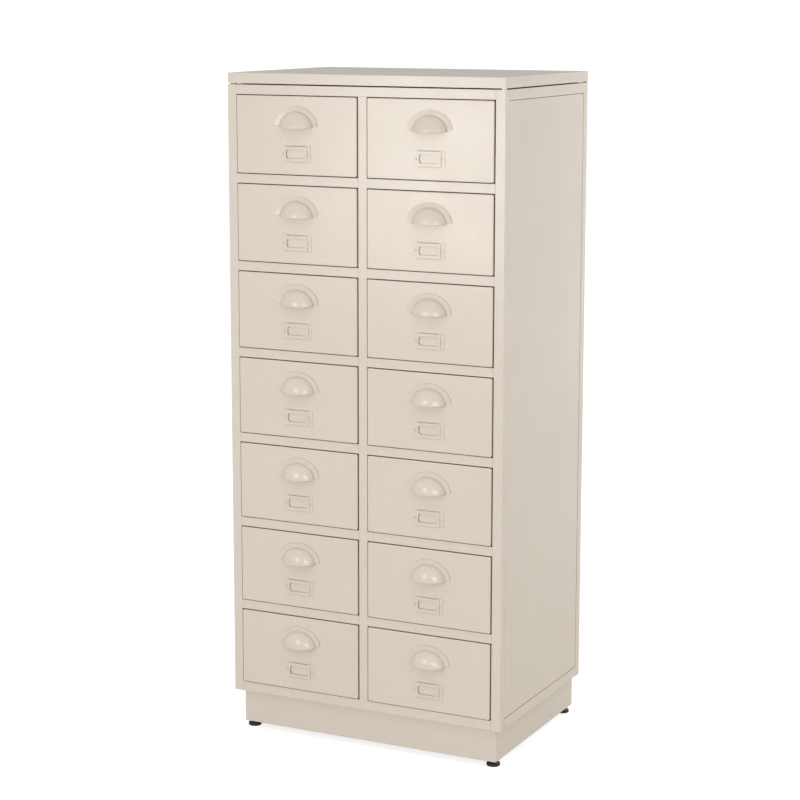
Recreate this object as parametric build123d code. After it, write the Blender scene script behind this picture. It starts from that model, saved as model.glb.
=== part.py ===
from build123d import *
import os
from math import atan, cos, degrees, pi, sin, tan, radians

os.makedirs("parts", exist_ok=True)

# ---------------------------------------------------------------- dimensions
# millimetres; +X right, front of the cabinet faces -Y, +Z up, floor at z = 0

WIDTH = 600.0            # carcass width
DEPTH = 415.0            # carcass depth, front frame to back sheet
HEIGHT = 1350.0          # floor to top
PULL_OUT = 19.49         # how far a cup pull stands off its drawer face
FACE_PROUD = 3.0         # drawer face stands this far in front of the frame
HEAD_OUT = 1.6           # heads of the back sheet's screws

Y_FRONT = -(DEPTH + HEAD_OUT - PULL_OUT - FACE_PROUD) / 2.0   # front face of the frame
Y_BACK = Y_FRONT + DEPTH
Y_FACE = Y_FRONT - FACE_PROUD                      # front face of the drawers

FOOT_GAP = 12.0          # floor to plinth
PLINTH_H = 70.0
PLINTH_INSET = 15.0      # at the front and the sides; flush at the back
Z_BODY = FOOT_GAP + PLINTH_H

TUBE = 20.0              # square tube of the welded frame
TUBE_T = 1.2
MULLION_W = 19.0         # centre upright between the two columns
RAIL_H = 19.0            # rails between the rows, and the top front rail

TOP_H = 20.5             # folded top panel
GROOVE = 2.5             # shadow gap under it
Z_FRAME = HEIGHT - TOP_H - GROOVE

ROWS = 7
PITCH = 175.0
OPEN_H = 156.0
OPEN_TOP = Z_FRAME - RAIL_H
OPEN_W = WIDTH / 2 - TUBE - MULLION_W / 2

GAP = 1.9                # reveal at the sides of every drawer face
GAP_Z = 1.4              # reveal above and below it
SHEET = 1.0              # drawer sheet
PANEL = 1.2              # carcass sheet
BACK_T = 1.2

FACE_W = OPEN_W - 2 * GAP
FACE_H = OPEN_H - 2 * GAP_Z
FACE_RETURN = 6.0        # folded edge of a drawer face
TRAY_W = FACE_W - 4 * SHEET
TRAY_DEPTH = 385.0
TRAY_SIDE_H = 125.0
TRAY_HEM = 8.0           # closed hem on the tray's upper edges
TRAVEL = 320.0           # stop ears meet the rail above after this travel
RUNNER_CLEAR = 0.5
RUNNER_W = 15.0
RUNNER_LEG = 24.0
RUNNER_T = 1.2

CUP_W, CUP_H = 95.0, 38.0          # flange of the cup pull
CUP_TOP = 21.0                     # below the top of the opening
DOME_A, DOME_B, DOME_C = 37.2, 18.6, 31.8
DOME_MID = 63.2                    # centre of the dome below the opening top
CUP_T = 1.2
FLANGE_T = 1.7                     # at the rim of the dished flange
LIP_DROP = 4.6                     # the lip hangs lower at its front
BEAD_R = 1.3
POST_X, POST_Z = 22.0, 49.0        # threaded posts inside the cup
POST_R = 3.5

LABEL_W, LABEL_H = 66.0, 33.0      # back plate of the label holder
LABEL_MID = 114.0
POCKET_W, POCKET_H, POCKET_D = 51.0, 30.0, 2.5
WINDOW_W, WINDOW_H, WINDOW_R = 42.0, 17.5, 5.0
RIVET_X = 29.2

PAD_R = 13.5                       # levelling foot
STUD_R = 4.0
STUD_HOLE = 4.06
FOOT_X = WIDTH / 2 - 28.0
FOOT_YF = Y_FRONT + 32.5
FOOT_YB = Y_BACK - 21.0

Z_OPEN = [OPEN_TOP - OPEN_H - PITCH * k for k in range(ROWS)]   # opening bottoms
COLUMNS = {"left": -(MULLION_W + OPEN_W) / 2, "right": (MULLION_W + OPEN_W) / 2}


# ------------------------------------------------------------------- helpers
def block(x0, x1, y0, y1, z0, z1):
    return Pos((x0 + x1) / 2, (y0 + y1) / 2, (z0 + z1) / 2) * Box(x1 - x0, y1 - y0, z1 - z0)


def rod_y(x, z, y0, y1, r):
    return Pos(x, (y0 + y1) / 2, z) * Rot(90, 0, 0) * Cylinder(r, y1 - y0)


def rod_z(x, y, z0, z1, r):
    return Pos(x, y, (z0 + z1) / 2) * Cylinder(r, z1 - z0)


def tube(x0, x1, y0, y1, z0, z1, along, t=TUBE_T):
    """Square tube along one axis, open at its ends."""
    d = {"x": (0, t, t), "y": (t, 0, t), "z": (t, t, 0)}[along]
    e = {"x": (1, 0, 0), "y": (0, 1, 0), "z": (0, 0, 1)}[along]
    outer = block(x0, x1, y0, y1, z0, z1)
    edges = outer.edges().filter_by({"x": Axis.X, "y": Axis.Y, "z": Axis.Z}[along])
    outer = fillet(edges, 0.8)
    return outer - block(x0 + d[0] - e[0], x1 - d[0] + e[0], y0 + d[1] - e[1], y1 - d[1] + e[1],
                         z0 + d[2] - e[2], z1 - d[2] + e[2])


def one(shape):
    s = shape.solids()
    assert len(s) == 1, len(s)
    return s[0]


def save(name, *shapes):
    solids = [s for shape in shapes for s in shape.solids()]
    out = solids[0] if len(solids) == 1 else Compound(children=solids)
    export_step(out, "parts/%s.step" % name)


# -------------------------------------------------------------- back screws
SCREW_AT = [(s * (WIDTH / 2 - TUBE / 2), z) for s in (-1, 1) for z in (140, 372, 604, 836, 1068, 1286)]
SCREW_AT += [(x, z) for z in (Z_BODY + TUBE / 2, Z_FRAME - TUBE / 2) for x in (-190, 0, 190)]
Y_POST = Y_BACK - BACK_T            # back face of the tubes


def drilled(shape):
    """Pilot holes for the back sheet's screws."""
    box = shape.bounding_box()
    for x, z in SCREW_AT:
        if box.min.X < x < box.max.X and box.min.Z < z < box.max.Z:
            shape = shape - rod_y(x, z, Y_POST - 3, Y_POST + 1, 1.9)
    return shape


# ------------------------------------------------------------- welded frame
H = WIDTH / 2
frame = []
for s in (-1, 1):
    x0, x1 = sorted((s * H, s * (H - TUBE)))
    frame.append(tube(x0, x1, Y_FRONT, Y_FRONT + TUBE, Z_BODY, Z_FRAME, "z"))
    frame.append(drilled(tube(x0, x1, Y_POST - TUBE, Y_POST, Z_BODY, Z_FRAME, "z")))
    for z0 in (Z_BODY, Z_FRAME - TUBE):
        frame.append(tube(x0, x1, Y_FRONT + TUBE, Y_POST - TUBE, z0, z0 + TUBE, "y"))
for z0 in (Z_BODY, Z_FRAME - TUBE):
    frame.append(drilled(tube(-H + TUBE, H - TUBE, Y_POST - TUBE, Y_POST, z0, z0 + TUBE, "x")))
frame.append(tube(-H + TUBE, H - TUBE, Y_FRONT, Y_FRONT + TUBE, Z_BODY, Z_BODY + TUBE, "x"))
frame.append(tube(-H + TUBE, H - TUBE, Y_FRONT, Y_FRONT + TUBE, Z_FRAME - RAIL_H, Z_FRAME, "x"))
frame.append(tube(-MULLION_W / 2, MULLION_W / 2, Y_FRONT, Y_FRONT + TUBE, Z_BODY + TUBE, OPEN_TOP, "z"))
for zb in Z_OPEN[:-1]:
    for s in (-1, 1):
        x0, x1 = sorted((s * MULLION_W / 2, s * (H - TUBE)))
        frame.append(tube(x0, x1, Y_FRONT, Y_FRONT + TUBE, zb - RAIL_H, zb, "x"))
save("welded_frame", *[one(t) for t in frame])

# ---------------------------------------------------------------- top panel
z0, z1 = HEIGHT - TOP_H, HEIGHT
top = block(-H, H, Y_FRONT, Y_BACK, z0, z1)
top = fillet(top.edges().filter_by(Axis.Z), 1.6)
top = fillet(top.faces().sort_by(Axis.Z)[-1].edges(), 1.3)
top = top - block(-H + PANEL, H - PANEL, Y_FRONT + PANEL, Y_BACK - PANEL, z0 + PANEL, z1 - PANEL)
top = top - block(-H + 16, H - 16, Y_FRONT + 16, Y_BACK - 16, z0 - 1, z0 + PANEL + 1)
# weld packings on the four posts; the right pair reach the corner
zg0, zg1 = z0 - GROOVE, z0
for x0, x1, y0, y1 in (
    (H - 8, H - 0.25, Y_FRONT + 0.25, Y_FRONT + 5.5),
    (H - 8, H - 0.25, Y_BACK - 8, Y_BACK - 4),
    (-H + 4, -H + 14, Y_FRONT + 4, Y_FRONT + 14),
    (-H + 4, -H + 14, Y_BACK - 14, Y_BACK - 5),
):
    top = top + block(x0, x1, y0, y1, zg0, zg1)
save("top_panel", one(top))

# -------------------------------------------------------------- side panels
EDGE = 1.3               # thin groove round each side panel
for name, s in (("left", -1), ("right", 1)):
    y0, y1 = Y_FRONT + TUBE, Y_POST - TUBE
    z0, z1 = Z_BODY + TUBE, Z_FRAME - TUBE
    x_out, x_step, x_in = H - 0.6, H - 2.4, H - 15.0
    a, b = sorted((s * x_in, s * x_step))
    body = block(a, b, y0, y1, z0, z1)
    a, b = sorted((s * x_step, s * x_out))
    skin = block(a, b, y0 + EDGE, y1 - EDGE, z0 + EDGE, z1 - EDGE)
    outer = skin.faces().sort_by(Axis.X)[-1 if s > 0 else 0]
    skin = fillet(outer.edges(), 0.6)
    side = body + skin
    a, b = sorted((s * (x_in - 1), s * (x_out - PANEL)))
    c, d = sorted((s * (x_in - 1), s * (x_step - PANEL)))
    side = side - block(c, d, y0 + PANEL, y1 - PANEL, z0 + PANEL, z1 - PANEL)
    side = side - block(a, b, y0 + EDGE + PANEL, y1 - EDGE - PANEL, z0 + EDGE + PANEL, z1 - EDGE - PANEL)
    save("side_panel_" + name, one(side))

# --------------------------------------------------------------- back panel
back = block(-H + 2, H - 2, Y_BACK - BACK_T, Y_BACK, Z_BODY + 2, Z_FRAME - 2)
back = fillet(back.edges().filter_by(Axis.Y), 3.0)
for x, z in SCREW_AT:
    back = back - rod_y(x, z, Y_BACK - 3, Y_BACK + 1, 2.1)
save("back_panel", one(back))

screws = []
for x, z in SCREW_AT:
    # low pan head with a cross slot
    head = rod_y(x, z, Y_BACK, Y_BACK + HEAD_OUT, 3.8)
    head = fillet(head.edges().sort_by(Axis.Y)[-1], 1.1)
    head = head - Pos(x, Y_BACK + 1.3, z) * Box(4.2, 1.0, 0.9) - Pos(x, Y_BACK + 1.3, z) * Box(0.9, 1.0, 4.2)
    screws.append(one(head + rod_y(x, z, Y_BACK - 9, Y_BACK, 1.85)))

# ------------------------------------------------------------- bottom panel
y0, y1 = Y_FRONT + TUBE, Y_POST - TUBE
z1 = Z_BODY + 11
bottom = block(-H + TUBE, H - TUBE, y0, y1, z1 - 9, z1)
bottom = bottom - block(-H + TUBE + PANEL, H - TUBE - PANEL, y0 + PANEL, y1 - PANEL, z1 - 10, z1 - PANEL)
save("bottom_panel", one(bottom))

# ----------------------------------------------------------- centre divider
DIV = MULLION_W / 2 - RUNNER_T
div = block(-DIV, DIV, y0, y1, z1, Z_FRAME - TUBE)
div = div - block(-DIV + PANEL, DIV - PANEL, y0 + PANEL, y1 - PANEL, z1 - 1, Z_FRAME)
save("centre_divider", one(div))

# ----------------------------------------------------------------- runners
runners = []
Z_TRAY = GAP_Z + SHEET                    # tray bottom above the opening bottom
for zb in Z_OPEN:
    top_z = zb + Z_TRAY - RUNNER_CLEAR
    for s in (-1, 1):
        for wall, inward in ((H - TUBE + RUNNER_T, -1), (DIV, 1)):
            leg_a, leg_b = sorted((s * wall, s * (wall + inward * RUNNER_T)))
            sh_a, sh_b = sorted((s * wall, s * (wall + inward * (RUNNER_T + RUNNER_W))))
            angle = block(leg_a, leg_b, y0, y1, top_z - RUNNER_T, top_z + RUNNER_LEG)
            angle = angle + block(sh_a, sh_b, y0, y1, top_z - RUNNER_T, top_z)
            runners.append(one(angle))
save("drawer_runners", *runners)

# ------------------------------------------------------------------- plinth
PX = H - PLINTH_INSET
PY0, PY1 = Y_FRONT + PLINTH_INSET, Y_BACK
PT = 1.5
ring = block(-PX, PX, PY0, PY1, FOOT_GAP, Z_BODY)
ring = fillet(ring.edges().filter_by(Axis.Z), 2.5)
ring = fillet(ring.faces().sort_by(Axis.Z)[0].edges(), 1.4)
ring = ring - block(-PX + PT, PX - PT, PY0 + PT, PY1 - PT, FOOT_GAP + PT, Z_BODY - PT)
ring = ring - block(-PX + 32, PX - 32, PY0 + 32, PY1 - 32, FOOT_GAP - 1, FOOT_GAP + PT + 1)
ring = ring - block(-PX + 20, PX - 20, PY0 + 20, PY1 - 20, Z_BODY - PT - 1, Z_BODY + 1)
for s in (-1, 1):
    for y in (FOOT_YF, FOOT_YB):
        # welded nut that carries the levelling stud
        ring = ring + rod_z(s * FOOT_X, y, FOOT_GAP + PT, FOOT_GAP + PT + 11, 7.5)
        ring = ring - rod_z(s * FOOT_X, y, FOOT_GAP - 1, FOOT_GAP + PT + 12, STUD_HOLE)
save("plinth", one(ring))

# --------------------------------------------------------------------- feet
pad = rod_z(0, 0, 0, 6.0, PAD_R)
pad = chamfer(pad.edges().filter_by(GeomType.CIRCLE).sort_by(Axis.Z)[0], 0.8)
pad = fillet(pad.edges().filter_by(GeomType.CIRCLE).sort_by(Axis.Z)[-1], 1.5)
pad = pad + Pos(0, 0, 7.25) * Cone(10.5, 8.0, 2.5)
for k in range(18):
    a = 2 * pi * (k + 0.5) / 18
    pad = pad - rod_z((PAD_R + 0.75) * cos(a), (PAD_R + 0.75) * sin(a), 1.6, 7.0, 1.3)
pad = pad - rod_z(0, 0, 3.0, 9.0, STUD_R + 0.06)

stud = rod_z(0, 0, 3.05, 46.0, STUD_R)
stud = chamfer(stud.edges().filter_by(GeomType.CIRCLE).sort_by(Axis.Z)[-1], 0.8)
collar = rod_z(0, 0, 8.6, 11.4, 6.6)
stud = stud + chamfer(collar.edges().filter_by(GeomType.CIRCLE), 0.5)
stud = stud - Pos(0, 0, 45.6) * Box(9, 1.2, 3.0)
for fb, y in (("front", FOOT_YF), ("back", FOOT_YB)):
    for side, s in (("left", -1), ("right", 1)):
        where = Location((s * FOOT_X, y, 0))
        save("foot_%s_%s_pad" % (fb, side), one(pad).moved(where))
        save("foot_%s_%s_stud" % (fb, side), one(stud).moved(where))

# ------------------------------------------------------------- drawer parts
# Built once about x = 0 with the opening's bottom at z = 0, then moved.
ZT = OPEN_H
FW, TW = FACE_W / 2, TRAY_W / 2
cup_holes = [(-POST_X, ZT - POST_Z), (POST_X, ZT - POST_Z)]
rivet_holes = [(-RIVET_X, ZT - LABEL_MID), (RIVET_X, ZT - LABEL_MID)]

# folded face: skin and four returns, with rounded corners
face = block(-FW, FW, Y_FACE, Y_FACE + FACE_RETURN, GAP_Z, GAP_Z + FACE_H)
face = fillet(face.edges().filter_by(Axis.Y), 3.4)
face = fillet(face.faces().sort_by(Axis.Y)[0].edges(), 1.7)
inside = block(-FW + SHEET, FW - SHEET, Y_FACE + SHEET, Y_FACE + 50, GAP_Z + SHEET, GAP_Z + FACE_H - SHEET)
face = face - fillet(inside.edges().filter_by(Axis.Y), 1.0)

# tray: floor, inner front, sides and back, flat sheets welded at their edges
tz0, tz1 = Z_TRAY, Z_TRAY + TRAY_SIDE_H
ty0, ty1 = Y_FACE + SHEET, Y_FACE + SHEET + TRAY_DEPTH
floor = block(-TW + SHEET, TW - SHEET, ty0 + SHEET, ty1 - SHEET, tz0, tz0 + SHEET)
# shallow stiffening ribs pressed into the floor
for x in (-84, -28, 28, 84):
    floor = floor + block(x - 3, x + 3, ty0 + 40, ty1 - 40, tz0 + SHEET, tz0 + SHEET + 0.8)
front = block(-TW, TW, ty0, ty0 + SHEET, tz0, GAP_Z + FACE_H - 2 * SHEET)
back_wall = block(-TW, TW, ty1 - SHEET, ty1, tz0, tz1)
back_wall = fillet(back_wall.edges().filter_by(Axis.Y).sort_by(Axis.Z)[-2:], 3.0)
back_wall = back_wall + block(-TW + 12, TW - 12, ty1 - 2 * SHEET, ty1 - SHEET, tz1 - TRAY_HEM, tz1)
sides, ears = [], []
ey = Y_FRONT + TUBE + TRAVEL
for s in (-1, 1):
    a, b = sorted((s * TW, s * (TW - SHEET)))
    c, d = sorted((s * (TW - SHEET), s * (TW - 2 * SHEET)))
    wall = block(a, b, ty0 + SHEET, ty1 - SHEET, tz0, tz1)
    sides.append(one(wall + block(c, d, ty0 + 12, ty1 - 12, tz1 - TRAY_HEM, tz1)))
    # stop ears that meet the back of the rail above
    a, b = sorted((s * TW, s * (TW + SHEET)))
    ear = block(a, b, ey, ey + 18, tz1 - 30, ZT + 5)
    ears.append(one(fillet(ear.edges().filter_by(Axis.X), 4.0)))
for x, z in cup_holes:
    hole = rod_y(x, z, Y_FACE - 1, ty0 + SHEET + 1, 2.2)
    face, front = face - hole, front - hole
for x, z in rivet_holes:
    hole = rod_y(x, z, Y_FACE - 1, ty0 + SHEET + 1, 1.3)
    face, front = face - hole, front - hole
tray = [one(face), one(front), one(floor), one(back_wall), *sides, *ears]

# cup pull: flange, dome, rolled lip and two threaded posts
zc = ZT - DOME_MID
z_fl = ZT - CUP_TOP - CUP_H                       # straight lower edge of the flange
outer = Pos(0, Y_FACE, zc) * scale(Sphere(1.0), by=(DOME_A, DOME_B, DOME_C))
inner = Pos(0, Y_FACE, zc) * scale(Sphere(1.0), by=(DOME_A - CUP_T, DOME_B - CUP_T, DOME_C - CUP_T))
tilt = atan(LIP_DROP / DOME_B)
front_half = block(-60, 60, Y_FACE - 40, Y_FACE, ZT - 130, ZT)
lip_plane = Plane(origin=(0, Y_FACE, z_fl), x_dir=(1, 0, 0), z_dir=(0, -sin(tilt), cos(tilt)))
above_lip = lip_plane * Pos(0, 0, 60) * Box(140, 140, 120)
room = front_half & above_lip
disc = Pos(0, Y_FACE, z_fl) * Rot(90, 0, 0) * extrude(Ellipse(CUP_W / 2, CUP_H), FLANGE_T)
disc = disc & block(-60, 60, Y_FACE - 5, Y_FACE, z_fl, ZT)
# slightly dished, so that the rim stands a little off the face
DISH_R = 470.0
dish = scale(Sphere(DISH_R), by=(1.0, 1.0, CUP_H / (CUP_W / 2)))
disc = disc - Pos(0, Y_FACE - FLANGE_T - (DISH_R ** 2 - (CUP_W / 2 - 0.8) ** 2) ** 0.5, z_fl) * dish
posts = None
for x, z in cup_holes:
    p = rod_y(x, z, Y_FACE - 15, Y_FACE, POST_R) & outer
    posts = p if posts is None else posts + p
arc_b = (DOME_B - 0.4) / cos(tilt)
arc = lip_plane * EllipticalCenterArc((0, 0), DOME_A - 0.7, arc_b, start_angle=180, arc_size=180)
profile = Plane(origin=arc @ 0, z_dir=arc % 0) * Circle(BEAD_R)
bead = sweep(profile, path=arc) & front_half
cup = ((outer & room) + disc + bead) - (inner & front_half - bead) + posts
for x, z in cup_holes:
    cup = cup - rod_y(x, z, Y_FACE - 7.5, Y_FACE + 1, 2.0)
cup = one(cup)
cup_screws = []
for x, z in cup_holes:
    head = rod_y(x, z, ty0 + SHEET, ty0 + SHEET + 2.4, 3.9)
    head = fillet(head.edges().sort_by(Axis.Y)[-1], 1.4)
    head = head - Pos(x, ty0 + SHEET + 2.0, z) * Box(3.8, 1.2, 0.9) - Pos(x, ty0 + SHEET + 2.0, z) * Box(0.9, 1.2, 3.8)
    cup_screws.append(one(head + rod_y(x, z, Y_FACE - 7.0, ty0 + SHEET, 1.95)))

# label holder: back plate with ears, raised pocket, open window
zl = ZT - LABEL_MID
plate = block(-LABEL_W / 2, LABEL_W / 2, Y_FACE - 0.9, Y_FACE, zl - LABEL_H / 2, zl + LABEL_H / 2)
plate = fillet(plate.edges().filter_by(Axis.Y), 2.0)
plate = fillet(plate.faces().sort_by(Axis.Y)[0].edges(), 0.35)
pocket = block(-POCKET_W / 2, POCKET_W / 2, Y_FACE - POCKET_D, Y_FACE, zl - POCKET_H / 2, zl + POCKET_H / 2)
pocket = fillet(pocket.edges().filter_by(Axis.Y), 1.6)
pocket = fillet(pocket.faces().sort_by(Axis.Y)[0].edges(), 0.9)
holder = plate + pocket
holder = holder - block(-POCKET_W / 2 + 1, POCKET_W / 2 - 1, Y_FACE - POCKET_D + 0.9, Y_FACE + 1,
                        zl - POCKET_H / 2 + 1, zl + POCKET_H / 2 - 1)
window = extrude(Pos(0, Y_FACE + 1, zl) * Rot(90, 0, 0) * RectangleRounded(WINDOW_W, WINDOW_H, WINDOW_R), 12)
holder = holder - window
# card slot in the upper wall
holder = holder - block(-22, 22, Y_FACE - POCKET_D + 0.9, Y_FACE - 0.3, zl + 10, zl + POCKET_H / 2 + 1)
for x, z in rivet_holes:
    holder = holder - rod_y(x, z, Y_FACE - 2, Y_FACE + 1, 1.3)
holder = one(holder)
rivets = []
for x, z in rivet_holes:
    head = rod_y(x, z, Y_FACE - 0.9 - 1.0, Y_FACE - 0.9, 2.3)
    head = fillet(head.edges().sort_by(Axis.Y)[0], 0.85)
    tail = rod_y(x, z, ty0 + SHEET, ty0 + SHEET + 0.9, 2.2)
    tail = fillet(tail.edges().sort_by(Axis.Y)[-1], 0.7)
    rivets.append(one(head + tail + rod_y(x, z, Y_FACE - 0.9, ty0 + SHEET, 1.25)))

for k, zb in enumerate(Z_OPEN):
    for side, cx in COLUMNS.items():
        where = Location((cx, 0, zb))
        base = "drawer_r%d_%s_" % (k + 1, side)
        save(base + "tray", *[t.moved(where) for t in tray])
        save(base + "pull", cup.moved(where), *[s.moved(where) for s in cup_screws])
        save(base + "label_holder", holder.moved(where), *[s.moved(where) for s in rivets])

save("back_panel_screws", *screws)
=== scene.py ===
import math

import bpy
from mathutils import Matrix, Vector

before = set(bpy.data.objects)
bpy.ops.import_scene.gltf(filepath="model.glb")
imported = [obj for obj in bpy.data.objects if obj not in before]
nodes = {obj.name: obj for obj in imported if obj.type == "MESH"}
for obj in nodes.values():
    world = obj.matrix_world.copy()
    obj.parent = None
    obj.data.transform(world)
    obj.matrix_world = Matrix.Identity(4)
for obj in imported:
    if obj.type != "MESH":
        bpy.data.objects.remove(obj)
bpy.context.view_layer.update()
scene = bpy.context.scene


# ------------------------------------------------------------- node helpers
def new_material(name):
    mat = bpy.data.materials.new(name)
    mat.use_nodes = True
    tree = mat.node_tree
    for n in list(tree.nodes):
        tree.nodes.remove(n)
    out = tree.nodes.new("ShaderNodeOutputMaterial")
    bsdf = tree.nodes.new("ShaderNodeBsdfPrincipled")
    tree.links.new(bsdf.outputs[0], out.inputs[0])
    return mat, tree, bsdf


def noise(tree, coord, scale, detail=3.0, rough=0.5, distortion=0.0):
    n = tree.nodes.new("ShaderNodeTexNoise")
    n.inputs["Scale"].default_value = scale
    n.inputs["Detail"].default_value = detail
    n.inputs["Roughness"].default_value = rough
    n.inputs["Distortion"].default_value = distortion
    tree.links.new(coord, n.inputs["Vector"])
    return n.outputs["Fac"]


def ramp(tree, fac, stops):
    r = tree.nodes.new("ShaderNodeValToRGB")
    els = r.color_ramp.elements
    while len(els) < len(stops):
        els.new(0.5)
    for e, (pos, col) in zip(els, stops):
        e.position = pos
        e.color = (*col, 1.0) if len(col) == 3 else col
    tree.links.new(fac, r.inputs[0])
    return r.outputs[0]


def grey(v):
    return (v, v, v)


def mix(tree, fac, a, b, kind="MIX"):
    m = tree.nodes.new("ShaderNodeMix")
    m.data_type = "RGBA"
    m.blend_type = kind
    for sock, val in ((m.inputs[0], fac), (m.inputs[6], a), (m.inputs[7], b)):
        if hasattr(val, "links"):
            tree.links.new(val, sock)
        elif isinstance(val, (int, float)):
            sock.default_value = val
        else:
            sock.default_value = (*val, 1.0)
    return m.outputs[2]


def bump(tree, bsdf, height, strength, distance, chain=None):
    b = tree.nodes.new("ShaderNodeBump")
    b.inputs["Strength"].default_value = strength
    b.inputs["Distance"].default_value = distance
    tree.links.new(height, b.inputs["Height"])
    if chain is not None:
        tree.links.new(chain, b.inputs["Normal"])
    tree.links.new(b.outputs[0], bsdf.inputs["Normal"])
    return b.outputs[0]


def coords(tree):
    return tree.nodes.new("ShaderNodeTexCoord").outputs["Object"]


# ---------------------------------------------------------------- materials
CREAM = (0.794, 0.705, 0.604)


def cream_paint(name, tint=1.0, warm=0.0):
    """Cream stoving enamel: fine orange peel, faint clouding, painted shade darkening inner edges and crevices,
    and a paler tone on sharp edges that is partly wear and partly painted highlight.
    """
    mat, tree, bsdf = new_material(name)
    c = coords(tree)
    base = tuple(min(1.0, v * tint * (1 + warm * k)) for v, k in zip(CREAM, (1, 0, -1)))
    cloud = noise(tree, c, 3.2, 4.0, 0.55)
    dark = tuple(v * 0.987 for v in base)
    lite = tuple(min(1.0, v * 1.009) for v in base)
    col = ramp(tree, cloud, [(0.30, dark), (0.70, lite)])
    blotch = noise(tree, c, 38.0, 5.0, 0.6)
    col = mix(tree, 0.012, col, ramp(tree, blotch, [(0.35, (0.62, 0.55, 0.47)), (0.65, (0.92, 0.86, 0.78))]))
    # convex edges a little paler (partly wear, partly painted highlight) and painted shade in the corners, both
    # very light
    # partly wear, partly painted highlight: sharp convex edges turn paler in noisy patches
    geo = tree.nodes.new("ShaderNodeNewGeometry")
    edge_patch_noise = noise(tree, c, 120.0, 4.0, 0.65)
    edge = ramp(tree, geo.outputs["Pointiness"], [(0.505, grey(0.0)), (0.56, grey(1.0))])
    wear_and_edge_highlight = mix(tree, 1.0, edge, ramp(tree, edge_patch_noise, [(0.45, grey(0.0)), (0.62, grey(1.0))]), "MULTIPLY")
    sep = tree.nodes.new("ShaderNodeSeparateColor")
    tree.links.new(wear_and_edge_highlight, sep.inputs[0])
    half = tree.nodes.new("ShaderNodeMath")
    half.operation = "MULTIPLY"
    half.inputs[1].default_value = 0.12
    tree.links.new(sep.outputs[0], half.inputs[0])
    col = mix(tree, half.outputs[0], col, (0.93, 0.89, 0.82))
    # painted shade: ambient occlusion darkens the colour in gaps, crevices and recesses
    ao = tree.nodes.new("ShaderNodeAmbientOcclusion")
    ao.samples = 6
    ao.inputs["Distance"].default_value = 0.005
    painted_crevice_shade = ramp(tree, ao.outputs["AO"], [(0.30, (0.50, 0.46, 0.41)), (0.72, grey(1.0))])
    col = mix(tree, 1.0, col, painted_crevice_shade, "MULTIPLY")
    tree.links.new(col, bsdf.inputs["Base Color"])
    rough = ramp(tree, noise(tree, c, 14.0, 4.0, 0.6), [(0.3, grey(0.20)), (0.7, grey(0.26))])
    tree.links.new(rough, bsdf.inputs["Roughness"])
    bsdf.inputs["Specular IOR Level"].default_value = 0.42
    peel = noise(tree, c, 620.0, 2.0, 0.5)
    b1 = bump(tree, bsdf, peel, 0.06, 0.0003)
    wave = noise(tree, c, 9.0, 2.0, 0.4)
    bump(tree, bsdf, wave, 0.05, 0.004, b1)
    return mat


def zinc(name, base=(0.56, 0.57, 0.58), rough=0.36):
    mat, tree, bsdf = new_material(name)
    c = coords(tree)
    spangle = tree.nodes.new("ShaderNodeTexVoronoi")
    spangle.inputs["Scale"].default_value = 160.0
    tree.links.new(c, spangle.inputs["Vector"])
    sepc = tree.nodes.new("ShaderNodeSeparateColor")
    tree.links.new(spangle.outputs["Color"], sepc.inputs[0])
    col = ramp(tree, sepc.outputs[0], [(0.0, tuple(v * 0.86 for v in base)), (1.0, tuple(min(1, v * 1.10) for v in base))])
    col = mix(tree, 0.25, col, ramp(tree, noise(tree, c, 30.0, 5.0, 0.6), [(0.3, (0.38, 0.37, 0.35)), (0.7, (0.66, 0.67, 0.68))]))
    tree.links.new(col, bsdf.inputs["Base Color"])
    bsdf.inputs["Metallic"].default_value = 1.0
    tree.links.new(ramp(tree, noise(tree, c, 60.0, 4.0, 0.6), [(0.3, grey(rough - 0.06)), (0.7, grey(rough + 0.10))]), bsdf.inputs["Roughness"])
    bump(tree, bsdf, noise(tree, c, 900.0, 3.0, 0.5), 0.12, 0.0002)
    return mat


def black_plastic(name):
    mat, tree, bsdf = new_material(name)
    c = coords(tree)
    col = ramp(tree, noise(tree, c, 90.0, 4.0, 0.6), [(0.3, (0.026, 0.026, 0.027)), (0.7, (0.046, 0.046, 0.047))])
    scuff = ramp(tree, noise(tree, c, 420.0, 5.0, 0.7), [(0.62, grey(0.0)), (0.74, grey(1.0))])
    sep = tree.nodes.new("ShaderNodeSeparateColor")
    tree.links.new(scuff, sep.inputs[0])
    m = tree.nodes.new("ShaderNodeMath")
    m.operation = "MULTIPLY"
    m.inputs[1].default_value = 0.25
    tree.links.new(sep.outputs[0], m.inputs[0])
    col = mix(tree, m.outputs[0], col, (0.12, 0.12, 0.12))
    tree.links.new(col, bsdf.inputs["Base Color"])
    tree.links.new(ramp(tree, noise(tree, c, 200.0, 3.0, 0.6), [(0.3, grey(0.26)), (0.7, grey(0.40))]), bsdf.inputs["Roughness"])
    bump(tree, bsdf, noise(tree, c, 1500.0, 2.0, 0.5), 0.2, 0.0002)
    return mat


paint = cream_paint("cream_enamel")
paint_front = cream_paint("cream_enamel_fronts", 1.0, 0.004)
paint_fitting = cream_paint("cream_enamel_fittings", 0.99, 0.004)
bare = zinc("galvanised_sheet", (0.52, 0.53, 0.54), 0.42)
bright = zinc("zinc_plated_steel")
black = black_plastic("black_nylon")

for name, ob in nodes.items():
    if name.endswith("_tray"):
        mat = paint_front
    elif name.endswith("_pull") or name.endswith("_label_holder"):
        mat = paint_fitting
    elif name in ("drawer_runners", "centre_divider"):
        mat = bare
    elif name == "back_panel_screws" or name.endswith("_stud"):
        mat = bright
    elif name.endswith("_pad"):
        mat = black
    else:
        mat = paint
    for slot in ob.material_slots:
        slot.material = mat

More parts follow.
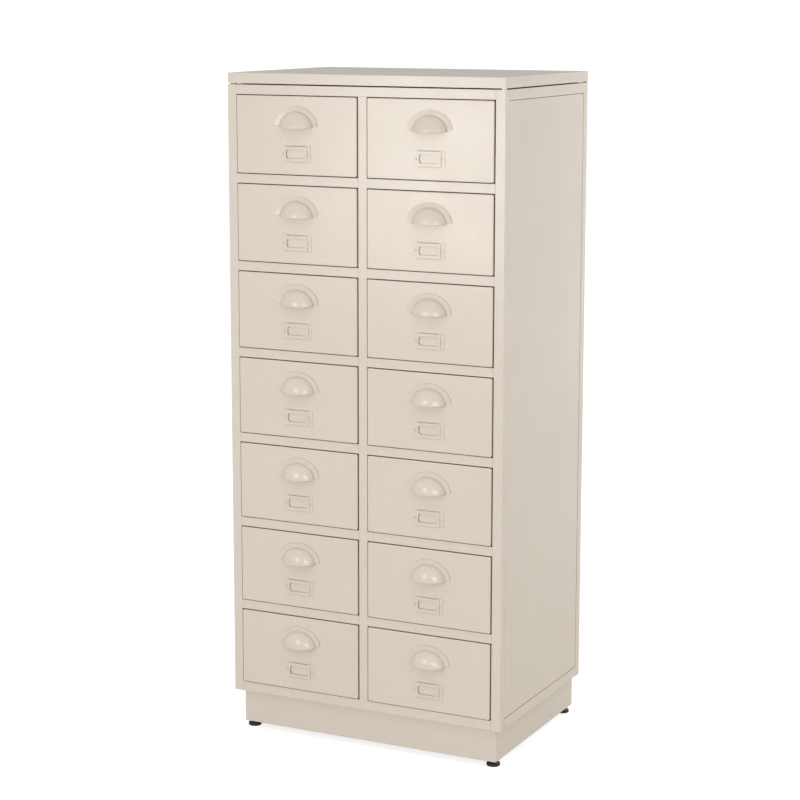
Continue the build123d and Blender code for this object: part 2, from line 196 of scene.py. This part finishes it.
# -------------------------------------------------------------------- stage
mesh = bpy.data.meshes.new("floor")
S = 60.0
mesh.from_pydata([(-S, -S, 0), (S, -S, 0), (S, S, 0), (-S, S, 0)], [], [(0, 1, 2, 3)])
floor = bpy.data.objects.new("floor", mesh)
scene.collection.objects.link(floor)
mat, tree, bsdf = new_material("pale_floor")
c = coords(tree)
tree.links.new(ramp(tree, noise(tree, c, 1.5, 3.0, 0.5), [(0.3, (0.47, 0.47, 0.468)), (0.7, (0.49, 0.49, 0.49))]), bsdf.inputs["Base Color"])
bsdf.inputs["Roughness"].default_value = 0.9
bsdf.inputs["Specular IOR Level"].default_value = 0.1
# the floor reads white to the eye, as studio paper does, but doesn't light the cabinet from below
glow = tree.nodes.new("ShaderNodeEmission")
glow.inputs[0].default_value = (1, 1, 1, 1)
path = tree.nodes.new("ShaderNodeLightPath")
scaled = tree.nodes.new("ShaderNodeMath")
scaled.operation = "MULTIPLY"
scaled.inputs[1].default_value = 0.78
tree.links.new(path.outputs["Is Camera Ray"], scaled.inputs[0])
tree.links.new(scaled.outputs[0], glow.inputs[1])
add = tree.nodes.new("ShaderNodeAddShader")
tree.links.new(bsdf.outputs[0], add.inputs[0])
tree.links.new(glow.outputs[0], add.inputs[1])
tree.links.new(add.outputs[0], [n for n in tree.nodes if n.type == "OUTPUT_MATERIAL"][0].inputs[0])
mesh.materials.append(mat)

world = bpy.data.worlds.new("studio")
world.use_nodes = True
wt = world.node_tree
bg = wt.nodes["Background"]
bg.inputs[0].default_value = (1.0, 1.0, 1.0, 1.0)
# white to the eye; as light, even round the horizon and stronger overhead
WORLD_EVEN, WORLD_HIGH = 0.39, 0.42
sky = wt.nodes.new("ShaderNodeTexCoord")
xyz = wt.nodes.new("ShaderNodeSeparateXYZ")
wt.links.new(sky.outputs["Generated"], xyz.inputs[0])


def world_math(kind, a, b):
    n = wt.nodes.new("ShaderNodeMath")
    n.operation = kind
    for k, v in enumerate((a, b)):
        if hasattr(v, "links"):
            wt.links.new(v, n.inputs[k])
        else:
            n.inputs[k].default_value = v
    return n


high = world_math("MULTIPLY", world_math("MAXIMUM", xyz.outputs[2], 0.0).outputs[0], WORLD_HIGH)
high.label = "high"
even = world_math("ADD", high.outputs[0], WORLD_EVEN)
even.label = "even"
path = wt.nodes.new("ShaderNodeLightPath")
level = wt.nodes.new("ShaderNodeMix")
level.data_type = "FLOAT"
wt.links.new(path.outputs["Is Camera Ray"], level.inputs[0])
wt.links.new(even.outputs[0], level.inputs[2])
level.inputs[3].default_value = 1.05
wt.links.new(level.outputs[0], bg.inputs[1])
scene.world = world


def area(name, where, target, size, power, colour=(1, 1, 1)):
    light = bpy.data.lights.new(name, "AREA")
    light.shape = "RECTANGLE"
    light.size, light.size_y = size
    light.energy = power
    light.color = colour
    ob = bpy.data.objects.new(name, light)
    ob.location = where
    ob.rotation_euler = (Vector(target) - Vector(where)).to_track_quat("-Z", "Y").to_euler()
    scene.collection.objects.link(ob)
    return ob


# a softbox at the front left, whose broad reflection falls on the upper right drawers
area("key", (-1.34, -3.5, 1.02), (0.1, -0.2, 1.05), (0.8, 0.95), 19.0)
# a wide soft light near the camera, which leaves little shadow under the pulls and on the plinth
area("front", (1.5, -4.8, 0.95), (0.0, -0.2, 0.55), (2.0, 1.4), 66.0)
area("side", (3.2, 2.6, 0.9), (0.3, 0.1, 0.65), (1.8, 2.6), 66.0)
# behind and to the right, so the side brightens toward its back edge
area("edge", (0.5, 2.6, 0.95), (0.3, 0.1, 0.85), (1.1, 1.5), 10.0)

# ------------------------------------------------------------------- camera
F, CX, CY = 2143.0, 400.0, 370.4
YAW, PITCH, ROLL = 26.43, 9.79, 0.05
POS = (1.907, -3.8701, 1.490)
cam_data = bpy.data.cameras.new("camera")
cam_data.sensor_fit = "HORIZONTAL"
cam_data.sensor_width = 36.0
cam_data.lens = F * 36.0 / 800.0
cam_data.shift_x = (400.0 - CX) / 800.0
cam_data.shift_y = (CY - 400.0) / 800.0
cam_data.clip_end = 200.0
cam = bpy.data.objects.new("camera", cam_data)
scene.collection.objects.link(cam)
y, p, r = map(math.radians, (YAW, PITCH, ROLL))
fwd = Vector((-math.sin(y) * math.cos(p), math.cos(y) * math.cos(p), -math.sin(p)))
right = Vector((math.cos(y), math.sin(y), 0.0))
up = right.cross(fwd)
right, up = math.cos(r) * right + math.sin(r) * up, -math.sin(r) * right + math.cos(r) * up
cam.matrix_world = Matrix((
    (right.x, up.x, -fwd.x, POS[0]),
    (right.y, up.y, -fwd.y, POS[1]),
    (right.z, up.z, -fwd.z, POS[2]),
    (0, 0, 0, 1),
))
scene.camera = cam
scene.view_settings.view_transform = "Standard"
